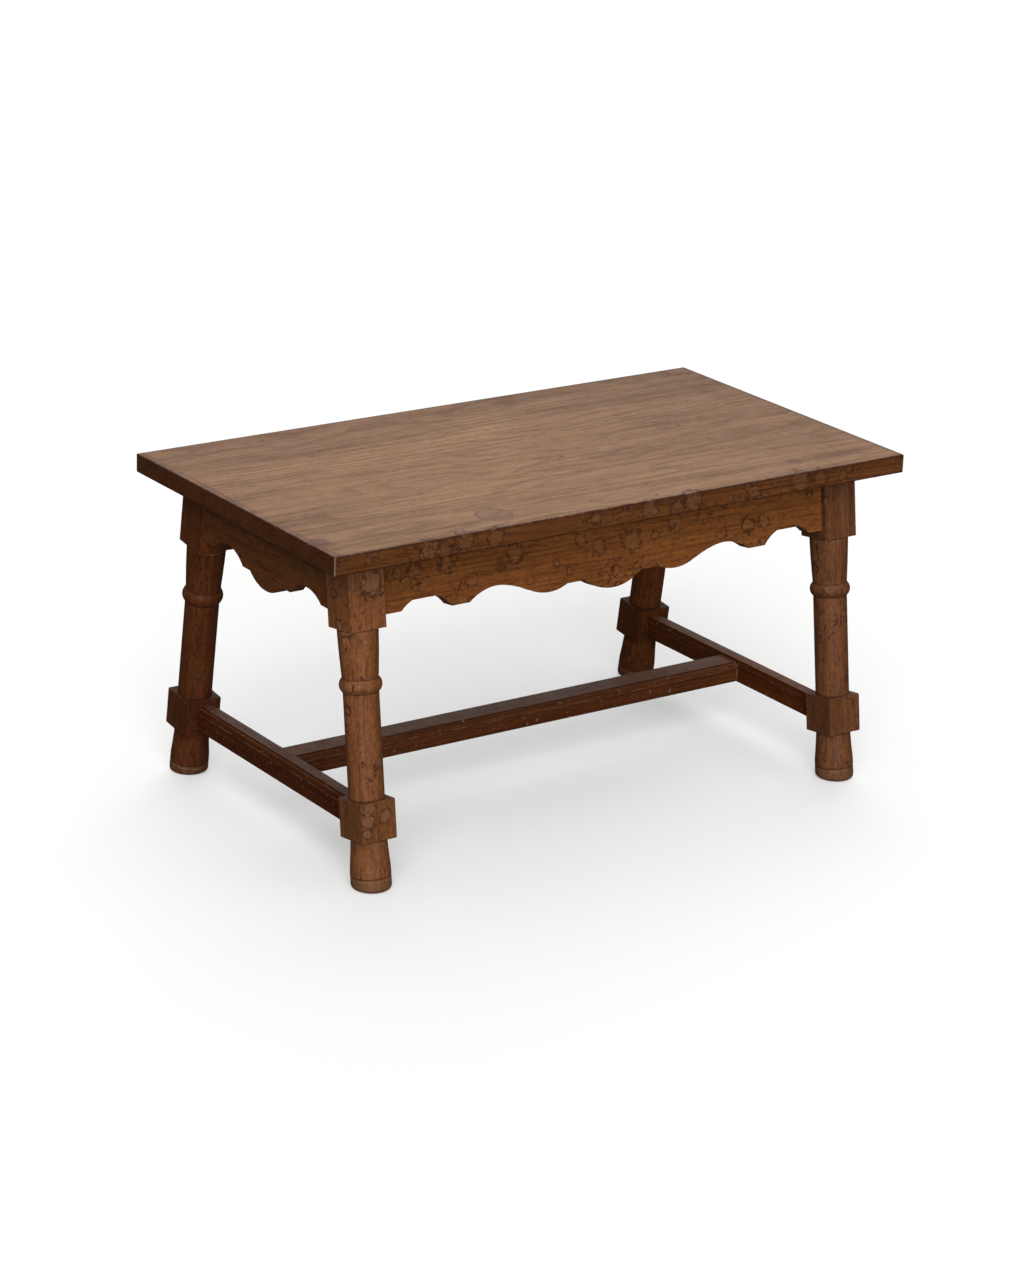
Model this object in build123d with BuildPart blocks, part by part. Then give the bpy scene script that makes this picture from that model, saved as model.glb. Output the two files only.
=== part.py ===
"""Low oak table with splayed turned legs, scalloped aprons and an H-shaped stretcher frame.

Frame: X runs along the length, Y across, Z up; the floor is Z = 0 and the origin is under the centre
of the top. The front is -Y. Millimetres.
"""
from build123d import *
from math import atan2, cos, radians, sin, tan
import os

os.makedirs("parts", exist_ok=True)

# Overall size
TOP_LENGTH = 1000
TOP_DEPTH = 545
TABLE_HEIGHT = 505
TOP_THICKNESS = 28
UNDERSIDE = TABLE_HEIGHT - TOP_THICKNESS
TOP_EDGE_ROUND = 2

# The top is five boards glued edge to edge; these are the four glue lines, front to back
GLUE_LINES = (-176, -70, 42, 146)

# Legs: one turned piece each, splayed towards the front and back only
LEG_X = 419
LEG_Y_AT_FLOOR = 256.5
LEG_Y_AT_UNDERSIDE = 192.5
SPLAY = atan2(LEG_Y_AT_FLOOR - LEG_Y_AT_UNDERSIDE, UNDERSIDE)
UPPER_BLOCK = 59
UPPER_BLOCK_START = 375.5
LOWER_BLOCK = 58
LOWER_BLOCK_START = 72.7
LOWER_BLOCK_END = 130.6
BLOCK_ARRIS = 1.5
BLOCK_END_ROUND = 1.5
ANKLE_RADIUS = 25.7
CALF_RADIUS = 27.8
CALF_HEIGHT = 42
ANKLE_DIRECTION = (-0.06, 1)
FOOT_RADIUS = 29.1
FOOT_HEIGHT = 22
FOOT_GROOVE_HEIGHT = 17.5
FOOT_GROOVE_DEPTH = 1.6
FOOT_ROUND = 6
SHAFT_RADIUS = 25.5
COLLAR_RADIUS = 30.4
COLLAR_START = 284
COLLAR_END = 304.5
NECK_RADIUS = 25.8
FLARE_RADIUS = 27.9
FLARE_HEIGHT = 340
SHOULDER_RADIUS = 29.3

# Aprons
APRON_THICKNESS = 22
LONG_APRON_RECESS = 9
END_APRON_FACE_X = 445

# Lower edge of a long apron, the same either side of its middle: distances from that middle, and how
# far each place is below or above the level at which the edge meets the legs
LONG_PATTERN_SHIFT = 3
LONG_EDGE_LEVEL = 390.7
LONG_LOBE_HALF_WIDTH = 50
LONG_LOBE_DEPTH = 24.4
LONG_FLAT_DEPTH = 5.8
SCOOP_START = 80
SCOOP_MIDDLE = 110
SCOOP_DEPTH = 13.3
SCOOP_END = 146
SCOOP_END_DEPTH = 4.8
CREST_START = (175, 6.2)
CREST = (204, 10.8)
CREST_END = (229, 5.3)
NIB_START = 248
NIB_END = 278
LONG_COVE_MIDDLE = 320
LONG_COVE_HEIGHT = 17
LONG_COVE_END = 362

# Lower edge of an end apron, in the same way
END_PATTERN_SHIFT = -5
END_EDGE_LEVEL = 391.5
END_LOBE_HALF_WIDTH = 45
END_LOBE_DEPTH = 24
END_FLAT_DEPTH = 6.2
END_FLAT_END = 65
END_COVE_MIDDLE = 109
END_COVE_HEIGHT = 14.7
END_COVE_END = 147

# Stretchers
STRETCHER_BOTTOM = 79.5
END_STRETCHER_TOP = 116.7
END_STRETCHER_INNER_X = 406
END_STRETCHER_OUTER_X = 431
LONG_STRETCHER_TOP = 112
LONG_STRETCHER_HALF_WIDTH = 25
MOULDING_WIDTH = 7
MOULDING_DROP = 9.5
MOULDING_RADIUS = 7
MOULDING_LEDGE = 1.2
SCRIBE_DROP = 1.5
SCRIBE_WIDTH = 1.2
SCRIBE_DEPTH = 0.7
END_STRETCHER_ARRIS = 2
LONG_STRETCHER_ARRIS = 6

# Joinery
TENON_THICKNESS = 9
TENON_LENGTH = 28
APRON_TENON_BOTTOM = 402
APRON_TENON_TOP = 465
STRETCHER_TENON_BOTTOM = 86
STRETCHER_TENON_TOP = 109
STRETCHER_TENON_LENGTH = 24
STUB_TENON_WIDTH = 26
STUB_TENON_BOTTOM = 86
STUB_TENON_TOP = 101
STUB_TENON_LENGTH = 14
GLUE_GAP = 0.15
END_GAP = 1

# How far a profile runs past the face that trims or swallows it
OVERRUN = 8
OVERLAP = 1

# Buttons that hold the top down and still let it move with the seasons
BUTTON_LENGTH = 34
BUTTON_DEPTH = 36
BUTTON_THICKNESS = 18
BUTTON_TONGUE = 8
BUTTON_TONGUE_LENGTH = 30
BUTTON_TONGUE_THICKNESS = 8
BUTTON_TONGUE_DROP = 10
BUTTON_CLEARANCE = 0.5
BUTTON_CHAMFER = 2
BUTTON_POSITIONS = (-250, 0, 250)
BUTTON_SLOT_TOP = UNDERSIDE - BUTTON_TONGUE_DROP
BUTTON_SLOT_HEIGHT = BUTTON_TONGUE_THICKNESS + 2 * BUTTON_CLEARANCE
BUTTON_SLOT_LENGTH = BUTTON_LENGTH + 4
BUTTON_SLOT_RUN = 40
SCREW_FROM_TIP = 30
SCREW_RADIUS = 2
SCREW_HEAD_RADIUS = 4.2
SCREW_HEAD_ANGLE = 82
SCREW_LENGTH = 34
SCREW_POINT_LENGTH = 5
SCREW_POINT_RADIUS = 0.4
SCREW_SLOT_WIDTH = 1.1
SCREW_SLOT_DEPTH = 1
SCREW_SLOT_TURN = 30
SCREW_HOLE_GAP = 0.2
SCREW_HEAD_GAP = 0.1
PILOT_HOLE_GAP = 0.05

SIDES = {"left": -1, "right": 1}
ENDS = {"front": -1, "back": 1}


def leg_axis(side_y):
    """Direction of a leg, from the floor up."""
    return Vector(0, -side_y * sin(SPLAY), cos(SPLAY))


def leg_plane(side_x, side_y):
    """Plane at the floor end of a leg, square to the leg, with its Y towards the back."""
    foot = (side_x * LEG_X, side_y * LEG_Y_AT_FLOOR, 0)
    return Plane(origin=foot, x_dir=(1, 0, 0), z_dir=leg_axis(side_y))


def face_plane(side_x, side_y, offset):
    """Plane along a leg, offset outwards from its axis; its X is the table's and its Y runs up the leg."""
    base = leg_plane(side_x, side_y).origin + Vector(0, side_y * cos(SPLAY), sin(SPLAY)) * offset
    return Plane(origin=base, x_dir=(1, 0, 0), z_dir=Vector(1, 0, 0).cross(leg_axis(side_y)))


def inner_face_y(block, height):
    """Distance from the table's middle to a leg block's inward face, at a height above the floor."""
    along = (height + block / 2 * sin(SPLAY)) / cos(SPLAY)
    return LEG_Y_AT_FLOOR - block / 2 * cos(SPLAY) - along * sin(SPLAY)


def apron_tenon_x(side_x):
    """Middle of an end apron's thickness."""
    return side_x * (END_APRON_FACE_X - APRON_THICKNESS / 2)


def end_tenon_outline(side_y, gap, end_gap):
    """Four corners, in Y and Z, of the tenon that an end apron has in a leg."""
    low = APRON_TENON_BOTTOM - gap
    high = APRON_TENON_TOP + gap
    reach = TENON_LENGTH + end_gap
    return [
        (side_y * (inner_face_y(UPPER_BLOCK, low) - GLUE_GAP), low),
        (side_y * (inner_face_y(UPPER_BLOCK, low) + reach), low),
        (side_y * (inner_face_y(UPPER_BLOCK, high) + reach), high),
        (side_y * (inner_face_y(UPPER_BLOCK, high) - GLUE_GAP), high),
    ]


# --- Legs -------------------------------------------------------------------------------------------

def block_rims(leg, base):
    """The edges round both end faces of a leg's lower block."""
    def is_rim(edge):
        middle = base.to_local_coords(edge.center())
        at_end = min(abs(middle.Z - LOWER_BLOCK_START), abs(middle.Z - LOWER_BLOCK_END)) < BLOCK_ARRIS / 2
        return at_end and Vector(middle.X, middle.Y).length > LOWER_BLOCK / 2 - BLOCK_ARRIS / 2

    return leg.edges().filter_by(is_rim)


def build_leg(side_x, side_y, label):
    """A leg turned from the square, with mortises for one long apron, one end apron and a stretcher."""
    base = leg_plane(side_x, side_y)
    profile_plane = face_plane(side_x, side_y, 0)
    long_tenon_offset = UPPER_BLOCK / 2 - LONG_APRON_RECESS - APRON_THICKNESS / 2
    stretcher_x = side_x * (END_STRETCHER_INNER_X + END_STRETCHER_OUTER_X) / 2
    turning_end = UPPER_BLOCK_START + OVERLAP

    with BuildPart() as leg:
        # Turned foot, shaft and collar
        with BuildSketch(profile_plane):
            with BuildLine():
                groove_low = (FOOT_RADIUS, FOOT_GROOVE_HEIGHT - FOOT_GROOVE_DEPTH)
                groove_high = (FOOT_RADIUS, FOOT_GROOVE_HEIGHT + FOOT_GROOVE_DEPTH)
                Polyline((0, -OVERRUN), (FOOT_RADIUS, -OVERRUN), groove_low)
                Polyline(groove_low, (FOOT_RADIUS - FOOT_GROOVE_DEPTH, FOOT_GROOVE_HEIGHT), groove_high)
                Line(groove_high, (FOOT_RADIUS, FOOT_HEIGHT))
                Spline(
                    (FOOT_RADIUS, FOOT_HEIGHT),
                    (CALF_RADIUS, CALF_HEIGHT),
                    (ANKLE_RADIUS, LOWER_BLOCK_START + OVERLAP),
                    tangents=((0, 1), ANKLE_DIRECTION),
                )
                Line((ANKLE_RADIUS, LOWER_BLOCK_START + OVERLAP), (SHAFT_RADIUS, LOWER_BLOCK_END))
                Line((SHAFT_RADIUS, LOWER_BLOCK_END), (SHAFT_RADIUS, COLLAR_START))
                ThreePointArc(
                    (SHAFT_RADIUS, COLLAR_START),
                    (COLLAR_RADIUS, (COLLAR_START + COLLAR_END) / 2),
                    (NECK_RADIUS, COLLAR_END),
                )
                ThreePointArc(
                    (NECK_RADIUS, COLLAR_END),
                    (FLARE_RADIUS, FLARE_HEIGHT),
                    (SHOULDER_RADIUS, turning_end),
                )
                Polyline((SHOULDER_RADIUS, turning_end), (0, turning_end), (0, -OVERRUN))
            make_face()
        revolve(axis=Axis(base.origin, base.z_dir))
        # Square blocks left at the two joints
        with BuildSketch(base.offset(LOWER_BLOCK_START)):
            RectangleRounded(LOWER_BLOCK, LOWER_BLOCK, BLOCK_ARRIS)
        extrude(amount=LOWER_BLOCK_END - LOWER_BLOCK_START)
        fillet(block_rims(leg, base), BLOCK_END_ROUND)
        with BuildSketch(base.offset(UPPER_BLOCK_START)):
            RectangleRounded(UPPER_BLOCK, UPPER_BLOCK, BLOCK_ARRIS)
        extrude(amount=UNDERSIDE - UPPER_BLOCK_START + UPPER_BLOCK / 2)
        split(bisect_by=Plane.XY.offset(UNDERSIDE), keep=Keep.BOTTOM)
        split(bisect_by=Plane.XY, keep=Keep.TOP)
        foot_rim = leg.faces().sort_by(Axis.Z)[0].edges()
        fillet(foot_rim, FOOT_ROUND)
        # Mortise for the long apron, from the block's side
        with BuildSketch(face_plane(side_x, side_y, long_tenon_offset)):
            inward = -side_x * (UPPER_BLOCK / 2 - (TENON_LENGTH + END_GAP) / 2 + OVERLAP)
            with Locations((inward, (APRON_TENON_BOTTOM + APRON_TENON_TOP) / 2)):
                Rectangle(
                    TENON_LENGTH + END_GAP + 2 * OVERLAP,
                    APRON_TENON_TOP - APRON_TENON_BOTTOM + 2 * GLUE_GAP,
                )
        extrude(amount=TENON_THICKNESS / 2 + GLUE_GAP, both=True, mode=Mode.SUBTRACT)
        # Mortise for the end apron, from the block's inward face
        with BuildSketch(Plane.YZ.offset(apron_tenon_x(side_x))):
            Polygon(*end_tenon_outline(side_y, GLUE_GAP, END_GAP), align=None)
        extrude(amount=TENON_THICKNESS / 2 + GLUE_GAP, both=True, mode=Mode.SUBTRACT)
        # Mortise for the end stretcher
        mouth = inner_face_y(LOWER_BLOCK, STRETCHER_TENON_TOP) - OVERRUN
        deep = mouth + OVERRUN + STRETCHER_TENON_LENGTH + END_GAP
        tenon_height = STRETCHER_TENON_TOP - STRETCHER_TENON_BOTTOM
        with BuildSketch(Plane.YZ.offset(stretcher_x)):
            with Locations((side_y * (deep + mouth) / 2, STRETCHER_TENON_BOTTOM + tenon_height / 2)):
                Rectangle(deep - mouth, tenon_height + 2 * GLUE_GAP)
        extrude(amount=TENON_THICKNESS / 2 + GLUE_GAP, both=True, mode=Mode.SUBTRACT)
    leg.part.label = label
    export_step(leg.part, f"parts/{label}.step")


for end, side_y in ENDS.items():
    for side, side_x in SIDES.items():
        build_leg(side_x, side_y, f"leg_{end}_{side}")


# --- Aprons -----------------------------------------------------------------------------------------

def apron_inner_y(height):
    """Distance from the table's middle to a long apron's inward face, at a height above the floor."""
    offset = UPPER_BLOCK / 2 - LONG_APRON_RECESS - APRON_THICKNESS
    along = (height - offset * sin(SPLAY)) / cos(SPLAY)
    return LEG_Y_AT_FLOOR + offset * cos(SPLAY) - along * sin(SPLAY)


def build_long_apron(side_y, label):
    """Long apron, leaning with the legs; its lower edge is cut to lobes, hollows and short flats."""
    outer_face = face_plane(0, side_y, UPPER_BLOCK / 2 - LONG_APRON_RECESS)
    level = LONG_EDGE_LEVEL
    flat = level - LONG_FLAT_DEPTH
    middle = LONG_PATTERN_SHIFT
    half_length = LEG_X - UPPER_BLOCK / 2
    top = UNDERSIDE + OVERRUN

    with BuildPart() as apron:
        with BuildSketch(outer_face):
            with BuildLine():
                lobe_ends = [(middle + way * LONG_LOBE_HALF_WIDTH, flat) for way in (-1, 1)]
                ThreePointArc(lobe_ends[0], (middle, level - LONG_LOBE_DEPTH), lobe_ends[1])
                for way, lobe_end in zip((-1, 1), lobe_ends):
                    crest = [(middle + way * x, level + rise) for x, rise in (CREST_START, CREST, CREST_END)]
                    scoop_start = (middle + way * SCOOP_START, flat)
                    scoop_middle = (middle + way * SCOOP_MIDDLE, level - SCOOP_DEPTH)
                    scoop_end = (middle + way * SCOOP_END, level - SCOOP_END_DEPTH)
                    nib_start = (middle + way * NIB_START, flat)
                    nib_end = (middle + way * NIB_END, flat)
                    cove_middle = (middle + way * LONG_COVE_MIDDLE, level + LONG_COVE_HEIGHT)
                    cove_end = (middle + way * LONG_COVE_END, level)
                    Line(lobe_end, scoop_start)
                    ThreePointArc(scoop_start, scoop_middle, scoop_end)
                    Spline(scoop_end, *crest, nib_start)
                    Line(nib_start, nib_end)
                    ThreePointArc(nib_end, cove_middle, cove_end)
                    Polyline(cove_end, (way * half_length, level), (way * half_length, top), (0, top))
            make_face()
        extrude(amount=side_y * APRON_THICKNESS)
        # Tenons into the legs
        with BuildSketch(outer_face.offset(side_y * APRON_THICKNESS / 2)):
            with Locations((0, (APRON_TENON_BOTTOM + APRON_TENON_TOP) / 2)):
                Rectangle(2 * (half_length + TENON_LENGTH), APRON_TENON_TOP - APRON_TENON_BOTTOM)
        extrude(amount=TENON_THICKNESS / 2, both=True)
        split(bisect_by=Plane.XY.offset(UNDERSIDE), keep=Keep.BOTTOM)
        # Slots for the button tongues
        reach = apron_inner_y(UNDERSIDE) + BUTTON_TONGUE + BUTTON_CLEARANCE
        with BuildSketch(Plane.XY.offset(BUTTON_SLOT_TOP)):
            with Locations(*[(x, side_y * (reach - BUTTON_SLOT_RUN / 2)) for x in BUTTON_POSITIONS]):
                Rectangle(BUTTON_SLOT_LENGTH, BUTTON_SLOT_RUN)
        extrude(amount=-BUTTON_SLOT_HEIGHT, mode=Mode.SUBTRACT)
    apron.part.label = label
    export_step(apron.part, f"parts/{label}.step")


def build_end_apron(side_x, label):
    """End apron, upright between the splayed legs, so its shoulders slope."""
    level = END_EDGE_LEVEL
    flat = level - END_FLAT_DEPTH
    middle = END_PATTERN_SHIFT
    inner_x = side_x * (END_APRON_FACE_X - APRON_THICKNESS)

    with BuildPart() as apron:
        with BuildSketch(Plane.YZ.offset(side_x * END_APRON_FACE_X)):
            with BuildLine():
                lobe_ends = [(middle + way * END_LOBE_HALF_WIDTH, flat) for way in (-1, 1)]
                ThreePointArc(lobe_ends[0], (middle, level - END_LOBE_DEPTH), lobe_ends[1])
                for way, lobe_end in zip((-1, 1), lobe_ends):
                    flat_end = (middle + way * END_FLAT_END, flat)
                    cove_middle = (middle + way * END_COVE_MIDDLE, level + END_COVE_HEIGHT)
                    cove_end = (middle + way * END_COVE_END, level)
                    Line(lobe_end, flat_end)
                    ThreePointArc(flat_end, cove_middle, cove_end)
                    Polyline(
                        cove_end,
                        (way * inner_face_y(UPPER_BLOCK, level), level),
                        (way * inner_face_y(UPPER_BLOCK, UNDERSIDE), UNDERSIDE),
                        (0, UNDERSIDE),
                    )
            make_face()
        extrude(amount=-side_x * APRON_THICKNESS)
        # Tenons into the legs
        with BuildSketch(Plane.YZ.offset(apron_tenon_x(side_x))):
            for way in (-1, 1):
                Polygon(*end_tenon_outline(way, 0, 0), align=None)
        extrude(amount=TENON_THICKNESS / 2, both=True)
        # Slot for the button tongue
        slot_depth = BUTTON_TONGUE + BUTTON_CLEARANCE
        with BuildSketch(Plane.XY.offset(BUTTON_SLOT_TOP)):
            with Locations((inner_x + side_x * (slot_depth - BUTTON_SLOT_RUN / 2), 0)):
                Rectangle(BUTTON_SLOT_RUN, BUTTON_SLOT_LENGTH)
        extrude(amount=-BUTTON_SLOT_HEIGHT, mode=Mode.SUBTRACT)
    apron.part.label = label
    export_step(apron.part, f"parts/{label}.step")


for end, side_y in ENDS.items():
    build_long_apron(side_y, f"apron_{end}")
for side, side_x in SIDES.items():
    build_end_apron(side_x, f"apron_{side}")


# --- Stretchers -------------------------------------------------------------------------------------

def moulded_edge(outer, way, top):
    """Line up a stretcher's outer face and over its thumb moulding, ending at the flat on top.

    Outer is the outer face's place across the stretcher, and way is +1 or -1 towards it.
    """
    ledge = top - MOULDING_DROP
    scribe = ledge - SCRIBE_DROP
    quirk = outer - way * MOULDING_WIDTH
    thumb_foot = (outer - way * MOULDING_LEDGE, ledge)
    thumb_centre = MOULDING_LEDGE + MOULDING_RADIUS
    thumb_head = (quirk, ledge + (MOULDING_RADIUS**2 - (thumb_centre - MOULDING_WIDTH) ** 2) ** 0.5)
    Polyline(
        (outer, STRETCHER_BOTTOM),
        (outer, scribe - SCRIBE_WIDTH / 2),
        (outer - way * SCRIBE_DEPTH, scribe),
        (outer, scribe + SCRIBE_WIDTH / 2),
        (outer, ledge),
        thumb_foot,
    )
    RadiusArc(thumb_foot, thumb_head, -way * MOULDING_RADIUS)
    Line(thumb_head, (quirk, top))


def build_end_stretcher(side_x, label):
    """End stretcher between the lower leg blocks, moulded on its outer face only."""
    inner_x = side_x * END_STRETCHER_INNER_X
    outer_x = side_x * END_STRETCHER_OUTER_X
    longest = inner_face_y(LOWER_BLOCK, STRETCHER_BOTTOM) + OVERRUN
    tenon_end = inner_face_y(LOWER_BLOCK, STRETCHER_TENON_TOP) + STRETCHER_TENON_LENGTH

    with BuildPart() as stretcher:
        with BuildSketch(Plane.XZ) as section:
            with BuildLine():
                moulded_edge(outer_x, side_x, END_STRETCHER_TOP)
                Polyline(
                    (outer_x - side_x * MOULDING_WIDTH, END_STRETCHER_TOP),
                    (inner_x, END_STRETCHER_TOP),
                    (inner_x, STRETCHER_BOTTOM),
                    (outer_x, STRETCHER_BOTTOM),
                )
            make_face()
            fillet(section.vertices().group_by(Axis.Y)[0], END_STRETCHER_ARRIS)
        extrude(amount=longest, both=True)
        for side_y in (-1, 1):
            shoulder = face_plane(side_x, side_y, -LOWER_BLOCK / 2)
            split(bisect_by=shoulder, keep=Keep.TOP if side_y == 1 else Keep.BOTTOM)
        # Tenons into the legs
        with BuildSketch(Plane.YZ.offset((inner_x + outer_x) / 2)):
            with Locations((0, (STRETCHER_TENON_BOTTOM + STRETCHER_TENON_TOP) / 2)):
                Rectangle(2 * tenon_end, STRETCHER_TENON_TOP - STRETCHER_TENON_BOTTOM)
        extrude(amount=TENON_THICKNESS / 2, both=True)
        # Mortise for the long stretcher
        with BuildSketch(Plane.YZ.offset(inner_x)):
            with Locations((0, (STUB_TENON_BOTTOM + STUB_TENON_TOP) / 2)):
                Rectangle(STUB_TENON_WIDTH + 2 * GLUE_GAP, STUB_TENON_TOP - STUB_TENON_BOTTOM + 2 * GLUE_GAP)
        extrude(amount=side_x * (STUB_TENON_LENGTH + END_GAP), mode=Mode.SUBTRACT)
    stretcher.part.label = label
    export_step(stretcher.part, f"parts/{label}.step")


def build_long_stretcher(label):
    """Long stretcher between the end stretchers, moulded on both upper edges."""
    with BuildPart() as stretcher:
        with BuildSketch(Plane.YZ) as section:
            with BuildLine():
                for way in (-1, 1):
                    outer = way * LONG_STRETCHER_HALF_WIDTH
                    moulded_edge(outer, way, LONG_STRETCHER_TOP)
                    Line((outer - way * MOULDING_WIDTH, LONG_STRETCHER_TOP), (0, LONG_STRETCHER_TOP))
                    Line((outer, STRETCHER_BOTTOM), (0, STRETCHER_BOTTOM))
            make_face()
            lower_corners = section.vertices().group_by(Axis.Y)[0].filter_by(lambda corner: corner.X != 0)
            fillet(lower_corners, LONG_STRETCHER_ARRIS)
        extrude(amount=END_STRETCHER_INNER_X, both=True)
        # Stub tenons into the end stretchers
        with BuildSketch(Plane.YZ):
            with Locations((0, (STUB_TENON_BOTTOM + STUB_TENON_TOP) / 2)):
                Rectangle(STUB_TENON_WIDTH, STUB_TENON_TOP - STUB_TENON_BOTTOM)
        extrude(amount=END_STRETCHER_INNER_X + STUB_TENON_LENGTH, both=True)
    stretcher.part.label = label
    export_step(stretcher.part, f"parts/{label}.step")


for side, side_x in SIDES.items():
    build_end_stretcher(side_x, f"stretcher_{side}")
build_long_stretcher("stretcher_center")


# --- Buttons that hold the top down, and their screws -----------------------------------------------

def button_planes():
    """Plane of each button on the top's underside: origin at the tongue's tip, X towards the middle."""
    long_tip = apron_inner_y(UNDERSIDE) + BUTTON_TONGUE
    end_tip = END_APRON_FACE_X - APRON_THICKNESS + BUTTON_TONGUE
    planes = {}
    for end, side_y in ENDS.items():
        for x, place in zip(BUTTON_POSITIONS, ("left", "center", "right")):
            tip = (x, side_y * long_tip, UNDERSIDE)
            planes[f"top_button_{end}_{place}"] = Plane(tip, x_dir=(0, -side_y, 0))
    for side, side_x in SIDES.items():
        planes[f"top_button_{side}"] = Plane((side_x * end_tip, 0, UNDERSIDE), x_dir=(-side_x, 0, 0))
    return planes


def build_button(plane, label):
    """Turn-button with a tongue for the apron's slot and a countersunk hole for its screw."""
    body_start = BUTTON_TONGUE + BUTTON_CLEARANCE
    with BuildPart() as button:
        with BuildSketch(plane):
            with Locations((body_start, 0)):
                Rectangle(BUTTON_DEPTH, BUTTON_LENGTH, align=(Align.MIN, Align.CENTER))
        extrude(amount=-BUTTON_THICKNESS)
        chamfer(button.edges().filter_by(Axis.Z), BUTTON_CHAMFER)
        with BuildSketch(plane.offset(-BUTTON_TONGUE_DROP)):
            Rectangle(body_start + BUTTON_DEPTH / 2, BUTTON_TONGUE_LENGTH, align=(Align.MIN, Align.CENTER))
        extrude(amount=-BUTTON_TONGUE_THICKNESS)
        bottom = plane.offset(-BUTTON_THICKNESS)
        screw_place = bottom.from_local_coords((SCREW_FROM_TIP, 0, 0))
        with Locations(Plane(screw_place, z_dir=(0, 0, -1))):
            CounterSinkHole(
                SCREW_RADIUS + SCREW_HOLE_GAP,
                SCREW_HEAD_RADIUS + SCREW_HEAD_GAP,
                counter_sink_angle=SCREW_HEAD_ANGLE,
            )
    button.part.label = label
    export_step(button.part, f"parts/{label}.step")


def build_screws(planes, label):
    """Slotted countersunk wood screws, one up through each button."""
    head_height = (SCREW_HEAD_RADIUS - SCREW_RADIUS) / tan(radians(SCREW_HEAD_ANGLE / 2))
    head_plane = UNDERSIDE - BUTTON_THICKNESS
    with BuildPart() as screws:
        for plane in planes:
            place = plane.from_local_coords((SCREW_FROM_TIP, 0, 0))
            upright = Plane((place.X, place.Y, head_plane), x_dir=(1, 0, 0), z_dir=(0, -1, 0))
            with BuildSketch(upright):
                Polygon(
                    (0, 0),
                    (SCREW_HEAD_RADIUS, 0),
                    (SCREW_RADIUS, head_height),
                    (SCREW_RADIUS, SCREW_LENGTH - SCREW_POINT_LENGTH),
                    (SCREW_POINT_RADIUS, SCREW_LENGTH),
                    (0, SCREW_LENGTH),
                    align=None,
                )
            revolve(axis=Axis(upright.origin, (0, 0, 1)))
            with BuildSketch(Plane.XY.offset(head_plane)):
                with Locations((place.X, place.Y)):
                    Rectangle(3 * SCREW_HEAD_RADIUS, SCREW_SLOT_WIDTH, rotation=SCREW_SLOT_TURN)
            extrude(amount=SCREW_SLOT_DEPTH, mode=Mode.SUBTRACT)
    screws.part.label = label
    export_step(screws.part, f"parts/{label}.step")


BUTTON_PLANES = button_planes()
for label, plane in BUTTON_PLANES.items():
    build_button(plane, label)
build_screws(BUTTON_PLANES.values(), "button_screws")


# --- Top --------------------------------------------------------------------------------------------

def build_board(front, back, label):
    """One board of the top, its outer edges eased, with pilot holes for the screws that meet it."""
    with BuildPart() as board:
        with BuildSketch(Plane.XY.offset(UNDERSIDE)):
            with Locations((0, (front + back) / 2)):
                Rectangle(TOP_LENGTH, back - front)
        extrude(amount=TOP_THICKNESS)
        eased = board.edges().filter_by(Axis.Y)
        if front == -TOP_DEPTH / 2:
            eased += board.faces().sort_by(Axis.Y)[0].edges()
        if back == TOP_DEPTH / 2:
            eased += board.faces().sort_by(Axis.Y)[-1].edges()
        fillet(eased, TOP_EDGE_ROUND)
        for plane in BUTTON_PLANES.values():
            place = plane.from_local_coords((SCREW_FROM_TIP, 0, 0))
            if front < place.Y < back:
                with Locations(Plane(place, z_dir=(0, 0, -1))):
                    Hole(SCREW_RADIUS + PILOT_HOLE_GAP, SCREW_LENGTH - BUTTON_THICKNESS + END_GAP)
    board.part.label = label
    export_step(board.part, f"parts/{label}.step")


board_edges = (-TOP_DEPTH / 2, *GLUE_LINES, TOP_DEPTH / 2)
for number, (front, back) in enumerate(zip(board_edges, board_edges[1:]), start=1):
    build_board(front, back, f"top_board_{number}")
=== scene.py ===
import math
import random

import bpy
from mathutils import Matrix, Vector


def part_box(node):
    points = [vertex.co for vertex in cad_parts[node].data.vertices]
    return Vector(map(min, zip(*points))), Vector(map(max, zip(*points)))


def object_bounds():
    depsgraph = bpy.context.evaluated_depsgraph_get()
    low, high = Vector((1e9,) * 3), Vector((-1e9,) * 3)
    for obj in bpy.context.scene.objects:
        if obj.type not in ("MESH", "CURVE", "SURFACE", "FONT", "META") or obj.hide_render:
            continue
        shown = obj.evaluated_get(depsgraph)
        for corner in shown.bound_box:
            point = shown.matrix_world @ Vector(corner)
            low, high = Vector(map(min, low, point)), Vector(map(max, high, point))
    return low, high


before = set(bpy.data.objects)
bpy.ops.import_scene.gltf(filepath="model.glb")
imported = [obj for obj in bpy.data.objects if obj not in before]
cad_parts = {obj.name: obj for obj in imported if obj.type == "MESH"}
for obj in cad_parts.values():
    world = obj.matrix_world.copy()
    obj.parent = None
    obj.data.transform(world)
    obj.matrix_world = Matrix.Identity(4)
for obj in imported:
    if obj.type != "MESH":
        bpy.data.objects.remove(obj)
cad_low, cad_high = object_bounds()

# ---------------------------------------------------------------- camera, in metres and degrees
# The lens and the sensor are in millimetres
CAMERA_AZIMUTH = -35.284
CAMERA_ELEVATION = 19.618
CAMERA_ROLL = 2.042
CAMERA_DISTANCE = 5.5356
CAMERA_TARGET = Vector((-0.01157, 0.0, 0.23076))
CAMERA_LENS = 105.62
SENSOR_LONG_SIDE = 36.0

# ---------------------------------------------------------------- the table's sizes, in metres
MILLIMETRES = 1000.0
TOP_HEIGHT = cad_high.z
TOP_HALF_LENGTH = cad_high.x
TOP_HALF_WIDTH = -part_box("top_board_1")[0].y
TOP_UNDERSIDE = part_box("top_board_1")[0].z

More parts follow.
